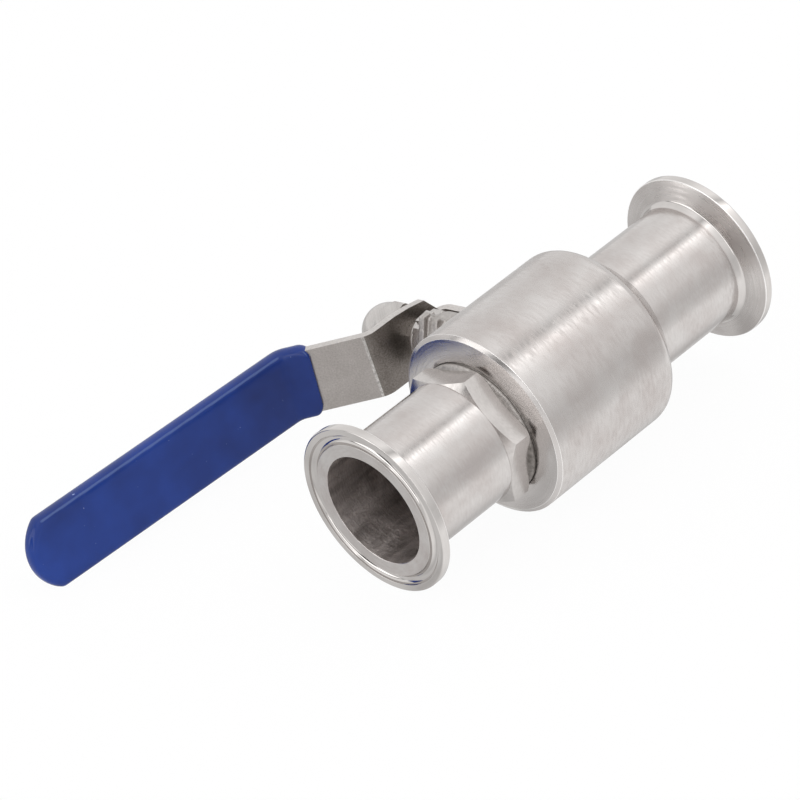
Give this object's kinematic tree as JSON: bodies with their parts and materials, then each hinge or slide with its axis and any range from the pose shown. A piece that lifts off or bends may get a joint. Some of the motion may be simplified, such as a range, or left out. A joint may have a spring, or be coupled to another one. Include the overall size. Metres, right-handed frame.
{
  "type": "sanitary ball valve",
  "caption": "Two-piece sanitary ball valve with clamp ferrule ends, a hexagonal connector and a bent lever with a blue sleeve.",
  "frame": {"origin": "centre of the ball, where the pipe axis and the stem axis cross", "axes": "+X along the pipe towards the hexagonal end connector, +Z along the stem towards the lever, +Y completing the right-handed set"},
  "size_m": [0.189, 0.0558, 0.1133],
  "materials": {
    "body_steel": "turned and brushed stainless steel",
    "polished_steel": "polished stainless steel",
    "plain_steel": "machined stainless steel",
    "ball_steel": "mirror-polished stainless steel",
    "spring_steel": "dull spring steel",
    "blasted_steel": "bead-blasted stainless plate",
    "seat_polymer": "white fluoropolymer",
    "seal_rubber": "black elastomer",
    "blue_vinyl": "satin dipped vinyl"
  },
  "bodies": {
    "valve_body": {"body": "body_steel", "end_cap": "body_steel", "front_ferrule": "polished_steel", "rear_ferrule": "polished_steel", "rear_weld": "body_steel", "seat_front": "seat_polymer", "seat_rear": "seat_polymer", "body_seal": "seat_polymer", "thrust_washer": "seat_polymer", "packing_lower": "seat_polymer", "packing_middle": "seat_polymer", "packing_upper": "seat_polymer", "gland_follower": "plain_steel"},
    "lever_set": {"stem": "plain_steel", "stem_o_ring": "seal_rubber", "disc_spring_lower": "spring_steel", "disc_spring_upper": "spring_steel", "packing_nut": "plain_steel", "tab_washer": "plain_steel", "lever": "blasted_steel", "lever_sleeve": "blue_vinyl", "spring_washer": "spring_steel", "cap_nut": "polished_steel"},
    "ball_body": {"ball": "ball_steel"}
  },
  "joints": [
    {"name": "lever_turn", "type": "hinge", "parent": "valve_body", "child": "lever_set", "pos_m": [0, 0, 0], "axis": [0, 0, -1], "range_deg": [0, 90]},
    {"name": "ball_turn", "type": "hinge", "parent": "valve_body", "child": "ball_body", "pos_m": [0, 0, 0], "axis": [0, 0, -1], "range_deg": [0, 90]}
  ],
  "couplings": [
    {"joint": "ball_turn", "follows": "lever_turn", "ratio": 1}
  ]
}
